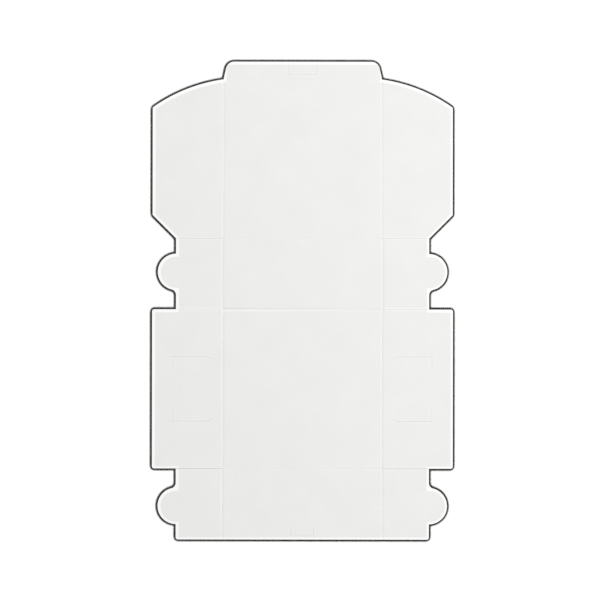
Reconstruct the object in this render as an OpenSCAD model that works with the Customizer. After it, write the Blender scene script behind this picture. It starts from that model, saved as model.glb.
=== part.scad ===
// Bakery box, die-cut from one sheet of white paperboard and shown lying flat, before it is folded.
// The top face is the inside of the box. Each panel folds up about its crease, on that face.
// X runs across the box, Y from the front wall to the lid, and Z up.
// The origin is the middle of the base panel, on the underside of the board.

/* [Box] */
// Width of the base, between its side creases
base_w = 228.6; // [170:0.1:300]
// Depth of the base, between its front and back creases
base_d = 228.6; // [210:0.1:300]
// Height of the walls
wall_h = 101.6; // [90:0.1:130]
// Thickness of the board
board_t = 0.45; // [0.35:0.01:0.8]

/* [Lid] */
// Height of the lip along the lid's front edge
lip_h = 25.4; // [22:0.1:32]
// Lean of the lip's two ends, from square to the crease
lip_lean = 12; // [4:1:20]
// Radius of the lip's outer corners
lip_corner_r = 12; // [6:0.5:16]
// How far inboard of the wing's crease the wing's curved edge has its centre
wing_arc_inset = 32; // [10:1:60]
// Radius of the rounded free corners of the wings, side walls and front flaps
corner_r = 3; // [1:0.1:5]

/* [Corner flaps] */
// Width of the corner flaps, without their tabs
flap_w = 66.7; // [50:0.1:80]
// Radius of the half-round tabs
tab_r = 26; // [18:0.5:32]
// Height of the middle of the tabs above the base
tab_z = 53.5; // [46:0.1:56]
// Radius of the hollow where a tab meets its flap, on the side towards the base
tab_fillet_r = 8; // [2:0.5:10]

/* [Locks] */
// Gap between a tab's root and its slit, once the box is folded
slit_gap = 1.3; // [0.5:0.1:4]
// Length of a slit beyond the width of its tab
slit_spare = 4; // [2:0.5:8]
// How much lower than its tab a slit lies
slit_drop = 10; // [4:0.5:12]
// Length of the leg at the upper end of a slit
slit_leg = 17; // [8:0.5:24]
// Radius of the turned end of a slit, near the base
slit_turn_r = 16.5; // [16:0.5:24]
// Length of the turned end of a slit
slit_turn_len = 10.5; // [4:0.5:14]
// Width of the catch in the lip
lip_catch_w = 40; // [24:0.5:60]
// Depth of the catch in the lip
lip_catch_h = 10; // [6:0.5:11]
// Distance from the lip's crease to its catch
lip_catch_z = 7.2; // [4:0.1:8]
// Width of the tongue in the front wall
tongue_w = 33; // [20:0.5:50]
// Depth of the tongue in the front wall
tongue_h = 11.5; // [6:0.5:16]
// Distance from the front wall's free edge to its tongue
tongue_z = 5.3; // [3:0.1:8]

/* [Cuts and creases] */
// Width of the cuts that part two neighbouring panels
cut_w = 0.15; // [0.1:0.05:0.8]
// Width of the slits and catches
slit_w = 0.1; // [0.1:0.05:1]
// Width of a crease
crease_w = 1.6; // [0.8:0.1:2.5]
// Depth of a crease
crease_depth = 0.16; // [0.05:0.01:0.25]
// Clearance between panels that lie against each other in the folded box
fold_gap = 0.1; // [0.05:0.05:0.5]

/* [Hidden] */
$fn = 96;
inside_white = [0.93, 0.93, 0.92];
over = 1;

// Room that one panel takes when it lies flat against another
lap = board_t + fold_gap;
// The corner flaps fold round the outside of the side walls, so their creases lie further out
flap_crease_x = base_w / 2 + lap;
// The wings tuck inside the side walls, so their creases lie further in
wing_crease_x = base_w / 2 - lap;
front_crease_y = -base_d / 2;
back_crease_y = base_d / 2;
lid_crease_y = back_crease_y + wall_h;
// The lip tucks behind the front wall, so the lid is shorter than the base
lid_d = base_d - lap;
lip_crease_y = lid_crease_y + lid_d;
side_wall_h = wall_h - cut_w;
wing_w = wall_h - cut_w;
wing_r = sqrt(lid_d * lid_d + wing_arc_inset * wing_arc_inset);
// The slits lie just beyond the roots of the tabs, measured from the front and back creases
slit_y = base_d / 2 - flap_w - slit_gap;
slit_len = 2 * tab_r + slit_spare;
slit_low = tab_z - slit_drop - slit_len / 2;

// Board of the given outline, from the underside up
module board() {
    color(inside_white)
        linear_extrude(board_t) children();
}

// Shallow arc groove along the X axis, to be taken out of the top face on both sides of a crease
module crease_groove(length) {
    groove_r = (pow(crease_w / 2, 2) + pow(crease_depth, 2)) / (2 * crease_depth);
    translate([-length / 2 - over, 0, board_t - crease_depth + groove_r])
        rotate([0, 90, 0])
            cylinder(r = groove_r, h = length + 2 * over);
}

// Groove of a crease that runs across the box, at a given Y
module cross_crease(y, length) {
    translate([0, y, 0]) crease_groove(length);
}

// Groove of a crease that runs front to back, at a given X and centred on a given Y
module long_crease(x, y, length) {
    translate([x, y, 0]) rotate([0, 0, 90]) crease_groove(length);
}

// Rectangle between two corners
module span(low, high) {
    translate(low) square([high[0] - low[0], high[1] - low[1]]);
}

// What to take away to round a square corner at the origin, of a shape that lies towards +X and +Y
module corner_waste(r) {
    difference() {
        translate([-over, -over]) square(r + over);
        translate([r, r]) circle(r);
    }
}

// U-shaped cut about the Y axis: its bar lies on the X axis and its legs point to +Y
module catch_cut(width, height) {
    difference() {
        span([-width / 2, -slit_w / 2], [width / 2, height]);
        span([-width / 2 + slit_w, slit_w / 2], [width / 2 - slit_w, height + over]);
    }
}

// Lock slit: X is the height above the base, and the leg and the turned end point to +Y
module lock_slit() {
    outer_r = slit_turn_r + slit_w / 2;
    span([slit_turn_len, -slit_w / 2], [slit_len, slit_w / 2]);
    span([slit_len - slit_w, -slit_w / 2], [slit_len, slit_leg]);
    translate([slit_turn_len, slit_turn_r])
        intersection() {
            difference() {
                circle(outer_r);
                circle(outer_r - slit_w);
            }
            span([-slit_turn_len, -outer_r], [0, 0]);
        }
}

// Side wall, drawn as the right one with its crease on the Y axis
module side_wall_shape() {
    half = base_d / 2 - cut_w;
    difference() {
        span([0, -half], [side_wall_h, half]);
        for (end = [0, 1])
            mirror([0, end]) {
                translate([side_wall_h, -half]) mirror([1, 0]) corner_waste(corner_r);
                translate([slit_low, -slit_y]) lock_slit();
            }
    }
}

// Corner flap, drawn as the right one: X runs out from its crease, and Y up from the base.
// The front flaps end in a free, rounded corner. The back ones end at the wings, in a square corner.
module flap_shape(rounded) {
    fillet_x = flap_w + tab_fillet_r;
    // A circle of the fillet's radius that touches both the flap's edge and the tab
    fillet_y = tab_z - sqrt(pow(tab_r + tab_fillet_r, 2) - pow(tab_fillet_r, 2));
    touch = tab_r / (tab_r + tab_fillet_r);
    difference() {
        union() {
            square([flap_w, wall_h]);
            translate([flap_w, tab_z]) circle(tab_r);
            polygon([
                [flap_w - over, fillet_y],
                [fillet_x - tab_fillet_r, fillet_y],
                [flap_w + touch * tab_fillet_r, tab_z + touch * (fillet_y - tab_z)],
                [flap_w - over, tab_z]
            ]);
        }
        translate([fillet_x, fillet_y]) circle(tab_fillet_r);
        if (rounded) translate([flap_w, wall_h]) rotate(180) corner_waste(corner_r);
    }
}

// Wing of the lid, drawn as the right one: X runs out from its crease, and Y from the lid's back crease
module wing_shape() {
    flap_reach = flap_crease_x + flap_w - wing_crease_x;
    chamfer = wing_w - flap_reach;
    // A circle of the corner's radius that touches both the outer edge and the curved edge
    round_x = wing_w - corner_r;
    round_y = sqrt(pow(wing_r - corner_r, 2) - pow(round_x + wing_arc_inset, 2));
    beyond = (wing_r + over) / (wing_r - corner_r);
    difference() {
        intersection() {
            span([0, cut_w], [wing_w, wing_r]);
            translate([-wing_arc_inset, 0]) circle(wing_r, $fn = 360);
        }
        translate([wing_w, 0]) rotate(45) square(chamfer * sqrt(2), center = true);
        difference() {
            polygon([
                [round_x, round_y],
                [wing_w + over, round_y],
                [wing_w + over, beyond * round_y],
                [beyond * (round_x + wing_arc_inset) - wing_arc_inset, beyond * round_y]
            ]);
            translate([round_x, round_y]) circle(corner_r);
        }
    }
}

// Lip, drawn with its crease on the X axis and its free edge towards +Y
module lip_shape() {
    root = wing_crease_x - cut_w;
    lean = tan(lip_lean);
    centre_y = lip_h - lip_corner_r;
    centre_x = root - centre_y * lean - lip_corner_r / cos(lip_lean);
    touch_x = centre_x + lip_corner_r * cos(lip_lean);
    touch_y = centre_y + lip_corner_r * sin(lip_lean);
    for (side = [0, 1])
        mirror([side, 0]) {
            polygon([[0, 0], [root, 0], [touch_x, touch_y], [centre_x, lip_h], [0, lip_h]]);
            translate([centre_x, centre_y]) circle(lip_corner_r);
        }
}

// Side wall on the right (0) or left (1)
module side_wall(side) {
    mirror([side, 0, 0])
        difference() {
            translate([base_w / 2, 0, 0]) board() side_wall_shape();
            long_crease(base_w / 2, 0, base_d);
        }
}

// Corner flap on the right (0) or left (1), of the back wall (0) or the front wall (1)
module corner_flap(side, end) {
    mirror([side, 0, 0])
        mirror([0, end, 0])
            difference() {
                translate([flap_crease_x, base_d / 2, 0]) board() flap_shape(rounded = end == 1);
                long_crease(flap_crease_x, base_d / 2 + wall_h / 2, wall_h);
            }
}

// Wing of the lid on the right (0) or left (1)
module wing(side) {
    mirror([side, 0, 0])
        difference() {
            translate([wing_crease_x, lid_crease_y, 0]) board() wing_shape();
            long_crease(wing_crease_x, lid_crease_y + lid_d / 2, lid_d);
        }
}

module base() {
    difference() {
        board() square([base_w, base_d], center = true);
        for (side = [-1, 1]) long_crease(side * base_w / 2, 0, base_d);
        for (y = [front_crease_y, back_crease_y]) cross_crease(y, base_w);
    }
}

module left_wall() side_wall(1);

module right_wall() side_wall(0);

module front_wall() {
    difference() {
        board()
            difference() {
                span([-flap_crease_x, front_crease_y - wall_h], [flap_crease_x, front_crease_y]);
                translate([0, front_crease_y - wall_h + tongue_z]) catch_cut(tongue_w, tongue_h);
            }
        cross_crease(front_crease_y, 2 * flap_crease_x);
        for (side = [-1, 1])
            long_crease(side * flap_crease_x, front_crease_y - wall_h / 2, wall_h);
    }
}

module front_left_flap() corner_flap(1, 1);

module front_right_flap() corner_flap(0, 1);

module back_wall() {
    difference() {
        board() span([-flap_crease_x, back_crease_y], [flap_crease_x, lid_crease_y]);
        for (y = [back_crease_y, lid_crease_y]) cross_crease(y, 2 * flap_crease_x);
        for (side = [-1, 1])
            long_crease(side * flap_crease_x, back_crease_y + wall_h / 2, wall_h);
    }
}

module back_left_flap() corner_flap(1, 0);

module back_right_flap() corner_flap(0, 0);

module lid() {
    difference() {
        board() span([-wing_crease_x, lid_crease_y], [wing_crease_x, lip_crease_y]);
        for (y = [lid_crease_y, lip_crease_y]) cross_crease(y, 2 * wing_crease_x);
        for (side = [-1, 1])
            long_crease(side * wing_crease_x, lid_crease_y + lid_d / 2, lid_d);
    }
}

module lid_left_wing() wing(1);

module lid_right_wing() wing(0);

module lid_lip() {
    difference() {
        board()
            translate([0, lip_crease_y])
                difference() {
                    lip_shape();
                    translate([0, lip_catch_z]) catch_cut(lip_catch_w, lip_catch_h);
                }
        cross_crease(lip_crease_y, 2 * wing_crease_x);
    }
}

base();
left_wall();
right_wall();
front_wall();
front_left_flap();
front_right_flap();
back_wall();
back_left_flap();
back_right_flap();
lid();
lid_left_wing();
lid_right_wing();
lid_lip();
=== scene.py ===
import math

import bpy
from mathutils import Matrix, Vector


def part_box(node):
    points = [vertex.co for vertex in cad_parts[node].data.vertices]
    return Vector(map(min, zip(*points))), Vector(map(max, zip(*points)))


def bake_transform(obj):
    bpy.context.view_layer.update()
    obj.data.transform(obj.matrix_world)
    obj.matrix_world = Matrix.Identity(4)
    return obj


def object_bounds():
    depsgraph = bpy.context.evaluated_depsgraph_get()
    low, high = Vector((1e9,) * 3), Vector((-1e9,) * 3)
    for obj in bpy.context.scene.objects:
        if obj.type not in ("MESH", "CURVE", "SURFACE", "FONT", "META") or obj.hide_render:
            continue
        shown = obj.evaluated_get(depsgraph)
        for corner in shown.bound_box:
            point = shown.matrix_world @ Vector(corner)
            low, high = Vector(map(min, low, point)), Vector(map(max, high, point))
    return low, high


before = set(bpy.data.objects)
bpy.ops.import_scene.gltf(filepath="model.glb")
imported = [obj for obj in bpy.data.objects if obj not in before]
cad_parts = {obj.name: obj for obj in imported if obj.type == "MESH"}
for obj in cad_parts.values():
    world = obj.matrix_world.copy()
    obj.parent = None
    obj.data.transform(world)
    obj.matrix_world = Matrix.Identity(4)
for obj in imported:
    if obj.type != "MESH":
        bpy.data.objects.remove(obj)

MM = 0.001
cad_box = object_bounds()

# The photograph's frame, the place of the blank's outline in it, in pixels, and the blank's lean
PHOTO_SIDE = 600
OUTLINE_LEFT, OUTLINE_RIGHT = 152.1, 453.0
OUTLINE_TOP, OUTLINE_BOTTOM = 61.6, 539.7
LEAN_DEG = 0.08

# Sizes of the blank, read from the frame
base_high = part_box("base")[1]
wall_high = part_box("right_wall")[1]
flap_low, flap_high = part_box("front_right_flap")
wing_low, wing_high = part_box("lid_right_wing")
lid_low, lid_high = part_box("lid")
lip_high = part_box("lid_lip")[1]
front_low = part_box("front_wall")[0]

# Rounded shapes of the blank's outline
TAB_R = 26 * MM
TAB_Z = 53.5 * MM
WING_ARC_INSET = 32 * MM
LIP_CORNER_R = 12 * MM
flap_edge_x = flap_high.x - TAB_R

# The lock slits in the right wall: a long cut, a leg at its outer end and a turned inner end
SLIT_Y = 46.3 * MM
SLIT_LOW_X, SLIT_HIGH_X = 129.8 * MM, 185.75 * MM
SLIT_LEG = 17 * MM
SLIT_TURN_R, SLIT_TURN_LEN = 16.5 * MM, 10.5 * MM

# The U-shaped cuts on the middle line: half width, where the bar lies, and height of the legs
CATCH_HALF, CATCH_Z, CATCH_LEG = 20 * MM, 7.2 * MM, 10 * MM
TONGUE_HALF, TONGUE_Z, TONGUE_LEG = 16.5 * MM, 5.3 * MM, 11.5 * MM

# The creases' relief in the bump
CREASE_WIDTH = 1.3 * MM
SIDE_CREASE_DEPTH = 0.23 * MM
WING_CREASE_DEPTH = 0.16 * MM
BACK_CREASE_DEPTH = 0.65 * MM
FRONT_CREASE_DEPTH = 0.07 * MM
LID_CREASE_DEPTH = 0.03 * MM
BACK_CREASE_RIGHT_SHARE = 0.1
# A painted highlight on the near side of the back crease: its shift from the crease, its width and its
# strength
CREASE_HIGHLIGHT_SHIFT, CREASE_HIGHLIGHT_WIDTH, CREASE_HIGHLIGHT_SHARE = 2.0 * MM, 0.7 * MM, 0.55

# The board's texture: the size of its fibre clouds, mottling and grain, and the last two's height
CLOUD_SIZE, MOTTLE_SIZE, GRAIN_SIZE = 45 * MM, 1.8 * MM, 0.35 * MM
CLOUD_SHARE, MOTTLE_SHARE = 0.55, 0.45
MOTTLE_HEIGHT, GRAIN_HEIGHT = 0.03 * MM, 0.012 * MM
SMOOTHEST, ROUGHEST = 0.55, 0.72
COATING_SHARE = 0.12
SPECULAR_LEVEL = 0.3

# The painted highlight, a paler rim along the edges, cuts and slits: how far from them it fades out, and
# how far it is full
RIM_SHIFT = 0.6 * MM
EDGE_RIM = (4.5 * MM, 2.8 * MM)
CUT_RIM = (2.8 * MM, 1.0 * MM)
SLIT_RIM, SLIT_RIM_SHARE = (3.2 * MM, 1.4 * MM), 0.2

# The painted shade in the cuts and slits, and a faint speck on the left wall
CUT_SHADE = (1.1 * MM, 0.2 * MM)
SLIT_SHADE_SHARE = 0.12
SPECK_X, SPECK_Y, SPECK_R = -175.6 * MM, 5.4 * MM, 0.8 * MM
SPECK_SHARE = 0.12

# For each row of cuts: its Y, the painted shade in the left and right one, and the strength of the
# painted rim highlight
CUT_ROWS = (
    (-base_high.y, 0.24, 0.20, 0.30),
    (base_high.y, 0.0, 0.0, 0.45),
    (lid_low.y, 0.05, 0.0, 0.25),
)

# The raw cut edge of the board shows its pressed layers
LAYER_SIZE, LAYER_STRETCH = 0.5 * MM, (1, 1, 12)

# A strip of board at each crease, which lies hidden in the flat sheet
FOLD_HALF = 0.35 * MM
FOLD_LOW, FOLD_HIGH = 0.02 * MM, 0.27 * MM
FOLD_COLUMNS = 8
FOLD_END_GAP = 0.3 * MM
STRETCHED_SHARE = 0.3
RIGHT, LEFT, FAR, NEAR = (1, 0, 0), (-1, 0, 0), (0, 1, 0), (0, -1, 0)
FOLDS = (
    ("base", "left_wall", LEFT),
    ("base", "right_wall", RIGHT),
    ("base", "front_wall", NEAR),
    ("base", "back_wall", FAR),
    ("front_wall", "front_left_flap", LEFT),
    ("front_wall", "front_right_flap", RIGHT),
    ("back_wall", "back_left_flap", LEFT),
    ("back_wall", "back_right_flap", RIGHT),
    ("back_wall", "lid", FAR),
    ("lid", "lid_left_wing", LEFT),
    ("lid", "lid_right_wing", RIGHT),
    ("lid", "lid_lip", FAR),
)

# The floor, a little below the sheet, and the reach of the painted contact shadow, a dark line round what
# lies close above it
FLOOR_DROP = 1.2 * MM
FLOOR_SIDE = 12.0
CONTACT_REACH = 5.0 * MM
CONTACT_LEAN = (0.12, 0.0, 1.0)
CONTACT_SAMPLES = 40
LINE_OPENNESS = (0.95, 1.0)

# Beside what is much taller than the sheet, such as a raised wall, the painted shadow line is a soft
# shade
TALL_REACH = 40 * MM
TALL_DIFFERENCE = (0.06, 0.15)
SOFT_OPENNESS = (0.5, 1.0)

# How strongly the floor glows to the camera, near the object and far from the lamp
NEAR_GLOW, FAR_GLOW = 0.3, 0.6
NEAR_REACH, FAR_REACH = 0.6, 3.0

# Soft studio light: a pale surround, and a broad lamp from the right and the far end
SURROUND_LIGHT = 0.55
LAMP_PLACE, LAMP_TARGET = Vector((2.72, 1.4, 3.65)), Vector((0, 0.1, 0))
LAMP_SIDE, LAMP_WATTS = 1.4, 134

LENS, SENSOR = 85.0, 36.0


def colour(red, green, blue):
    return (red, green, blue, 1.0)


BOARD_DULL, BOARD_BRIGHT = colour(0.790, 0.792, 0.775), colour(0.885, 0.885, 0.869)
LAYER_DULL, LAYER_BRIGHT = colour(0.74, 0.72, 0.68), colour(0.85, 0.83, 0.80)
RIM_HIGHLIGHT_COLOUR = colour(0.98, 0.98, 0.97)
SHADE_AND_SPECK_COLOUR = colour(0.25, 0.25, 0.24)
STRETCHED_COLOUR = colour(0.95, 0.95, 0.94)
FLOOR_COLOUR = colour(0.9, 0.9, 0.9)
FLOOR_BOUNCE = colour(0.6, 0.6, 0.6)
CONTACT_SHADOW_COLOUR = colour(0.02, 0.02, 0.02)
SOFT_SHADOW_COLOUR = colour(0.15, 0.15, 0.15)


class Graph:
    """Builds the nodes of one material or world. Each call but node returns a socket."""

    def __init__(self, owner, output_kind):
        owner.use_nodes = True
        self.nodes = owner.node_tree.nodes
        self.links = owner.node_tree.links
        self.nodes.clear()
        self.output = self.nodes.new(output_kind)

    def node(self, kind, inputs=None, **settings):
        made = self.nodes.new(kind)
        for key, value in settings.items():
            setattr(made, key, value)
        for key, value in (inputs or {}).items():
            self.feed(made.inputs[key], value)
        return made

    def feed(self, socket, value):
        if isinstance(value, bpy.types.NodeSocket):
            self.links.new(value, socket)
        else:
            socket.default_value = value

    def surface(self, shader):
        self.links.new(shader.outputs[0], self.output.inputs["Surface"])

    def math(self, operation, *values):
        made = self.node("ShaderNodeMath", operation=operation)
        for socket, value in zip(made.inputs, values):
            self.feed(socket, value)
        return made.outputs[0]

    def all_of(self, first, *others):
        for other in others:
            first = self.math("MINIMUM", first, other)
        return first

    def any_of(self, first, *others):
        for other in others:
            first = self.math("MAXIMUM", first, other)
        return first

    def total(self, first, *others):
        for other in others:
            first = self.math("ADD", first, other)
        return first

    def less(self, first, second):
        return self.math("SUBTRACT", first, second)

    def times(self, first, second):
        return self.math("MULTIPLY", first, second)

    def size(self, value):
        return self.math("ABSOLUTE", value)

    def apart(self, first, second):
        """How far apart two values are."""
        return self.size(self.less(first, second))

    def below(self, value, limit):
        """1 where the value is below the limit, and 0 elsewhere."""
        return self.math("LESS_THAN", value, limit)

    def above(self, value, limit):
        """1 where the value is above the limit, and 0 elsewhere."""
        return self.math("GREATER_THAN", value, limit)

    def between(self, value, low, high):
        """1 between the two limits, and 0 elsewhere."""
        return self.times(self.above(value, low), self.below(value, high))

    def length(self, across, along):
        return self.math("SQRT", self.total(self.times(across, across), self.times(along, along)))

    def hump(self, distance, width):
        """1 at distance 0, falling away on a bell curve of that width."""
        share = self.math("DIVIDE", distance, width)
        return self.math("EXPONENT", self.times(self.times(share, share), -0.5))

    def smooth(self, value, start, end):
        """0 at start and 1 at end, with a soft step between them."""
        made = self.node("ShaderNodeMapRange", {"Value": value, "From Min": start, "From Max": end},
                         interpolation_type="SMOOTHSTEP")
        return made.outputs[0]

    def ramp(self, value, start, end, low, high):
        """low at start and high at end, with a straight line between them."""
        made = self.node("ShaderNodeMapRange", {
            "Value": value,
            "From Min": start,
            "From Max": end,
            "To Min": low,
            "To Max": high,
        })
        return made.outputs[0]

    def noise(self, vector, size, detail=2.0, roughness=0.5):
        """Noise from 0 to 1, whose features are about size metres across."""
        made = self.node("ShaderNodeTexNoise", {
            "Vector": vector,
            "Scale": 1 / size,
            "Detail": detail,
            "Roughness": roughness,
        })
        return made.outputs[0]

    def mix(self, share, first, second):
        made = self.node("ShaderNodeMix", data_type="RGBA", blend_type="MIX")
        self.feed(made.inputs["Factor"], share)
        self.feed(made.inputs["A"], first)
        self.feed(made.inputs["B"], second)
        return made.outputs["Result"]

    def seen_directly(self):
        """1 for rays from the camera, a reflection or a clear thing, and 0 for other light."""
        rays = self.node("ShaderNodeLightPath").outputs
        return self.any_of(rays["Is Camera Ray"], rays["Is Glossy Ray"], rays["Is Transmission Ray"])


def outline_depth(g, x, y):
    """How far inside the blank's outline a point lies. x is its distance to the middle line."""
    mirrored_y = g.size(y)
    walls = g.all_of(g.less(wall_high.x, x), g.less(wall_high.y, mirrored_y))
    column_top = lid_low.y + LIP_CORNER_R
    column = g.all_of(g.less(flap_edge_x, x), g.less(y, front_low.y), g.less(column_top, y))
    tab_y = base_high.y + TAB_Z
    tabs = g.less(TAB_R, g.length(g.less(x, flap_edge_x), g.less(mirrored_y, tab_y)))
    wing_root = lid_high.x - WING_ARC_INSET
    arc_r = math.hypot(WING_ARC_INSET, lid_high.y - lid_low.y)
    arc = g.less(arc_r, g.length(g.less(x, wing_root), g.less(y, lid_low.y)))
    chamfer = g.times(g.less(g.less(y, lid_low.y), g.less(x, flap_edge_x)), math.sqrt(0.5))
    wings = g.all_of(g.less(wing_high.x, x), arc, chamfer)
    lip = g.all_of(g.less(lid_high.x, x), g.less(lip_high.y, y), g.less(y, lid_low.y))
    return g.any_of(walls, column, tabs, wings, lip)


def crease_fade(g, signed_x):
    """The share of the back crease's depth along it: full at its left end, faint at its right."""
    return g.ramp(signed_x, -base_high.x, base_high.x, 1.0, BACK_CREASE_RIGHT_SHARE)


def crease_height(g, x, y, signed_x):
    """Height of the board's face near its creases: a pressed channel with soft shoulders."""
    beyond_base = g.above(g.size(y), base_high.y)
    beyond_wall = g.above(y, lid_low.y)
    line_x = g.total(
        base_high.x,
        g.times(beyond_base, flap_low.x - base_high.x),
        g.times(beyond_wall, wing_low.x - flap_low.x),
    )
    shallower = g.times(beyond_wall, SIDE_CREASE_DEPTH - WING_CREASE_DEPTH)
    side_depth = g.total(-SIDE_CREASE_DEPTH, shallower)
    side_depth = g.times(g.below(y, lid_high.y), side_depth)
    height = g.times(g.hump(g.less(x, line_x), CREASE_WIDTH), side_depth)
    across = g.smooth(x, base_high.x + CREASE_WIDTH, base_high.x - CREASE_WIDTH)
    for line_y, depth, share in (
        (base_high.y, BACK_CREASE_DEPTH, crease_fade(g, signed_x)),
        (-base_high.y, FRONT_CREASE_DEPTH, 1.0),
        (lid_low.y, LID_CREASE_DEPTH, 1.0),
        (lid_high.y, LID_CREASE_DEPTH, 1.0),
    ):
        channel = g.times(g.hump(g.less(y, line_y), CREASE_WIDTH), g.times(across, -depth))
        height = g.total(height, g.times(channel, share))
    return height


def crease_highlight(g, x, y, signed_x):
    """A painted highlight on the near side of the back crease, fading along the crease as its depth does.
    """
    near_side = g.hump(g.less(y, base_high.y - CREASE_HIGHLIGHT_SHIFT), CREASE_HIGHLIGHT_WIDTH)
    return g.times(g.times(near_side, g.below(x, base_high.x)), crease_fade(g, signed_x))


def cut_distance(g, x, y, line_y):
    """How far a point is from the cut beside a corner flap. It lies at one Y, beyond the creases."""
    return g.total(g.apart(y, line_y), g.below(x, flap_low.x))


def line_distance(g, value, line, along, low, high):
    """How far a point is from a straight cut. value is across it, and along runs from low to high."""
    return g.total(g.apart(value, line), g.less(1.0, g.between(along, low, high)))


def slit_distance(g, x, y):
    """How far a point is from the lock slits, the catch and the tongue."""
    mirrored_y = g.size(y)
    turn_x, turn_y = SLIT_LOW_X + SLIT_TURN_LEN, SLIT_Y - SLIT_TURN_R
    turn = g.apart(g.length(g.less(x, turn_x), g.less(mirrored_y, turn_y)), SLIT_TURN_R)
    beside_turn = g.between(mirrored_y, turn_y, SLIT_Y + MM)
    inside_turn = g.times(g.between(x, SLIT_LOW_X, turn_x), beside_turn)
    catch_y, tongue_y = lid_high.y + CATCH_Z, front_low.y + TONGUE_Z
    return g.all_of(
        line_distance(g, mirrored_y, SLIT_Y, x, turn_x, SLIT_HIGH_X),
        line_distance(g, x, SLIT_HIGH_X, mirrored_y, SLIT_Y - SLIT_LEG, SLIT_Y),
        g.total(turn, g.less(1.0, inside_turn)),
        line_distance(g, y, catch_y, x, -1.0, CATCH_HALF),
        line_distance(g, x, CATCH_HALF, y, catch_y, catch_y + CATCH_LEG),
        line_distance(g, x, TONGUE_HALF, y, tongue_y, tongue_y + TONGUE_LEG),
    )


def highlight_shade_and_speck(g, x, y, signed_x):
    """The strength of the painted highlight, a paler rim along the edges, cuts, slits and back crease,
    and of the painted shade in the cuts and slits and a faint speck on the left wall.
    """
    shifted_x = g.size(g.less(signed_x, RIM_SHIFT))
    rim_highlight = g.smooth(outline_depth(g, shifted_x, g.total(y, RIM_SHIFT)), *EDGE_RIM)
    on_left = g.below(signed_x, 0.0)
    shade_and_speck = []
    for line_y, left_shade, right_shade, pale in CUT_ROWS:
        gap = cut_distance(g, x, y, line_y)
        rim_highlight = g.any_of(rim_highlight, g.times(g.smooth(gap, *CUT_RIM), pale))
        share = g.total(right_shade, g.times(on_left, left_shade - right_shade))
        shade_and_speck.append(g.times(g.smooth(gap, *CUT_SHADE), share))
    slits = slit_distance(g, x, y)
    rim_highlight = g.any_of(
        rim_highlight,
        g.times(g.smooth(slits, *SLIT_RIM), SLIT_RIM_SHARE),
        g.times(crease_highlight(g, x, y, signed_x), CREASE_HIGHLIGHT_SHARE),
    )
    shade_and_speck.append(g.times(g.smooth(slits, *CUT_SHADE), SLIT_SHADE_SHARE))
    speck = g.hump(g.length(g.less(signed_x, SPECK_X), g.less(y, SPECK_Y)), SPECK_R)
    shade_and_speck.append(g.times(speck, SPECK_SHARE))
    return rim_highlight, g.any_of(*shade_and_speck)


def paperboard(name, flat=True):
    """White paperboard: fibre clouds, fine matte grain, pressed creases, a painted highlight on a paler
    rim along its edges and painted shade in its cuts and slits. The bent board at a fold has no edges of
    its own, and its stretched fibres are a little paler."""
    material = bpy.data.materials.new(name)
    g = Graph(material, "ShaderNodeOutputMaterial")
    coordinates = g.node("ShaderNodeTexCoord").outputs
    place = coordinates["Object"]
    parts = g.node("ShaderNodeSeparateXYZ", {"Vector": place}).outputs
    signed_x, y = parts["X"], parts["Y"]
    x = g.size(signed_x)

    clouds = g.noise(place, CLOUD_SIZE, detail=3.0)
    mottle = g.noise(place, MOTTLE_SIZE, detail=3.0, roughness=0.6)
    grain = g.noise(place, GRAIN_SIZE, detail=4.0, roughness=0.65)
    tone = g.total(g.times(clouds, CLOUD_SHARE), g.times(mottle, MOTTLE_SHARE))
    face = g.mix(tone, BOARD_DULL, BOARD_BRIGHT)
    height = g.total(g.times(grain, GRAIN_HEIGHT), g.times(mottle, MOTTLE_HEIGHT))
    roughness = g.ramp(grain, 0.2, 0.8, SMOOTHEST, ROUGHEST)

    if flat:
        # Painted highlight on a rim along the edges, cuts, slits and back crease, then painted shade in
        # the cuts and slits and a faint speck
        rim_highlight, shade_and_speck = highlight_shade_and_speck(g, x, y, signed_x)
        face = g.mix(shade_and_speck, g.mix(rim_highlight, face, RIM_HIGHLIGHT_COLOUR), SHADE_AND_SPECK_COLOUR)

        facing = g.node("ShaderNodeSeparateXYZ", {"Vector": coordinates["Normal"]}).outputs["Z"]
        stretched = g.node("ShaderNodeMapping", {"Vector": place, "Scale": LAYER_STRETCH}).outputs[0]
        layers = g.mix(g.noise(stretched, LAYER_SIZE), LAYER_DULL, LAYER_BRIGHT)
        face = g.mix(g.below(g.size(facing), 0.5), face, layers)

        # A channel on the inside face is a bead on the outside, which is coated a little smoother
        height = g.total(height, g.times(crease_height(g, x, y, signed_x), facing))
        roughness = g.less(roughness, g.times(g.below(facing, -0.5), COATING_SHARE))
    else:
        face = g.mix(STRETCHED_SHARE, face, STRETCHED_COLOUR)

    bump = g.node("ShaderNodeBump", {"Height": height, "Distance": 1.0, "Strength": 1.0})
    g.surface(g.node("ShaderNodeBsdfPrincipled", {
        "Base Color": face,
        "Roughness": roughness,
        "Normal": bump.outputs[0],
        "Specular IOR Level": SPECULAR_LEVEL,
    }))
    return material


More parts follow.
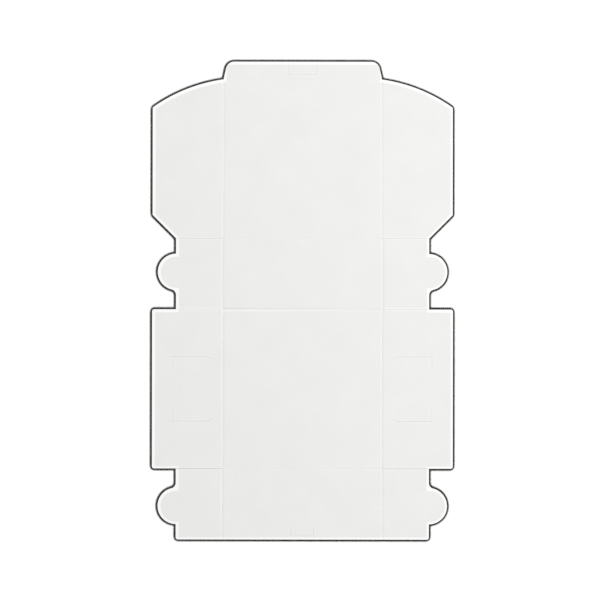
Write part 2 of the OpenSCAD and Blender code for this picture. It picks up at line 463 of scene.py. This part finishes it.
def fold(parent, child, turn, material):
    """A strip along the crease between two panels. turn points from the parent to the child."""
    across = Vector(turn)
    along = Vector((-across.y, across.x, 0))
    parent_low, parent_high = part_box(parent)
    child_low, child_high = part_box(child)
    low = Vector(map(max, parent_low, child_low))
    high = Vector(map(min, parent_high, child_high))
    middle = (low + high) / 2
    half_length = abs((high - low).dot(along)) / 2 - FOLD_END_GAP

    # Each column has four corners: low and high at its one end, then low and high at the other
    vertices = []
    for column in range(FOLD_COLUMNS + 1):
        offset = (2 * column / FOLD_COLUMNS - 1) * FOLD_HALF
        for end in (-1, 1):
            for z in (FOLD_LOW, FOLD_HIGH):
                point = middle + across * offset + along * end * half_length
                vertices.append((point.x, point.y, z))
    faces = []
    for a in range(0, 4 * FOLD_COLUMNS, 4):
        b = a + 4
        faces += [
            (a, b, b + 2, a + 2),
            (a + 1, a + 3, b + 3, b + 1),
            (a, a + 1, b + 1, b),
            (a + 2, b + 2, b + 3, a + 3),
        ]
    last = 4 * FOLD_COLUMNS
    faces += [(0, 2, 3, 1), (last, last + 1, last + 3, last + 2)]

    mesh = bpy.data.meshes.new(f"fold_{child}")
    mesh.from_pydata(vertices, [], faces)
    mesh.validate()
    mesh.update()
    for polygon in mesh.polygons:
        polygon.use_smooth = abs(polygon.normal.z) > 0.5
    mesh.materials.append(material)
    piece = bpy.data.objects.new(f"fold_{child}", mesh)
    bpy.context.scene.collection.objects.link(piece)
    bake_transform(piece)


def floor_material():
    """Plain pale floor, with a painted contact shadow: a dark line round the sheet where it lies close
    above the floor.
    """
    material = bpy.data.materials.new("pale_floor")
    g = Graph(material, "ShaderNodeOutputMaterial")
    lean = g.node("ShaderNodeCombineXYZ", dict(zip("XYZ", CONTACT_LEAN))).outputs[0]
    near, far = (
        g.node("ShaderNodeAmbientOcclusion", {"Distance": reach, "Normal": lean}, samples=CONTACT_SAMPLES)
        .outputs["AO"]
        for reach in (CONTACT_REACH, TALL_REACH)
    )
    # Painted shadow from ambient occlusion: a dark line close to the sheet, and a soft shade beside tall
    # parts
    line = g.mix(g.smooth(near, *LINE_OPENNESS), CONTACT_SHADOW_COLOUR, FLOOR_COLOUR)
    soft = g.mix(g.ramp(near, *SOFT_OPENNESS, 0.0, 1.0), SOFT_SHADOW_COLOUR, FLOOR_COLOUR)
    shade = g.mix(g.smooth(g.less(near, far), *TALL_DIFFERENCE), line, soft)
    seen = g.seen_directly()
    diffuse = g.node("ShaderNodeBsdfDiffuse", {"Color": g.mix(seen, FLOOR_BOUNCE, shade)})
    position = g.node("ShaderNodeNewGeometry").outputs["Position"]
    spot = g.node("ShaderNodeSeparateXYZ", {"Vector": position}).outputs
    away = g.length(spot["X"], spot["Y"])
    glow = g.ramp(away, NEAR_REACH, FAR_REACH, NEAR_GLOW, FAR_GLOW)
    lift = g.node("ShaderNodeEmission", {"Color": shade, "Strength": g.times(seen, glow)})
    both = g.node("ShaderNodeAddShader")
    g.feed(both.inputs[0], diffuse.outputs[0])
    g.feed(both.inputs[1], lift.outputs[0])
    g.surface(both)
    return material


def surround():
    """A white surround that lights the object softly."""
    world = bpy.data.worlds.new("surround")
    g = Graph(world, "ShaderNodeOutputWorld")
    strength = g.ramp(g.seen_directly(), 0.0, 1.0, SURROUND_LIGHT, 1.0)
    g.surface(g.node("ShaderNodeBackground", {"Color": colour(1, 1, 1), "Strength": strength}))
    return world


board = paperboard("paperboard")
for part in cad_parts.values():
    part.data.materials.clear()
    part.data.materials.append(board)

bent_board = paperboard("paperboard_fold", flat=False)
for parent, child, turn in FOLDS:
    fold(parent, child, turn, bent_board)

bpy.ops.mesh.primitive_plane_add(size=FLOOR_SIDE, location=(0, 0, -FLOOR_DROP))
floor = bpy.context.object
floor.name = "floor"
floor.data.materials.append(floor_material())

scene = bpy.context.scene
scene.world = surround()
lamp_data = bpy.data.lights.new("key", "AREA")
lamp_data.shape = "SQUARE"
lamp_data.size = LAMP_SIDE
lamp_data.energy = LAMP_WATTS
lamp = bpy.data.objects.new("key", lamp_data)
lamp.location = LAMP_PLACE
lamp.rotation_euler = (LAMP_TARGET - LAMP_PLACE).to_track_quat("-Z", "Y").to_euler()
scene.collection.objects.link(lamp)

# The camera looks straight down. One pixel of the photograph is this long on the sheet
pixel = (cad_box[1].x - cad_box[0].x) / (OUTLINE_RIGHT - OUTLINE_LEFT)
sheet_centre = (cad_box[0] + cad_box[1]) / 2
right_of_middle = (OUTLINE_LEFT + OUTLINE_RIGHT - PHOTO_SIDE) / 2 * pixel
below_middle = (OUTLINE_TOP + OUTLINE_BOTTOM - PHOTO_SIDE) / 2 * pixel
camera_height = PHOTO_SIDE * pixel * LENS / SENSOR
camera_data = bpy.data.cameras.new("camera")
camera_data.lens = LENS
camera_data.sensor_width = SENSOR
camera = bpy.data.objects.new("camera", camera_data)
camera.location = (
    sheet_centre.x - right_of_middle,
    sheet_centre.y + below_middle,
    base_high.z + camera_height,
)
camera.rotation_euler = (0, 0, math.radians(LEAN_DEG))
scene.collection.objects.link(camera)
scene.camera = camera
scene.view_settings.view_transform = "Standard"
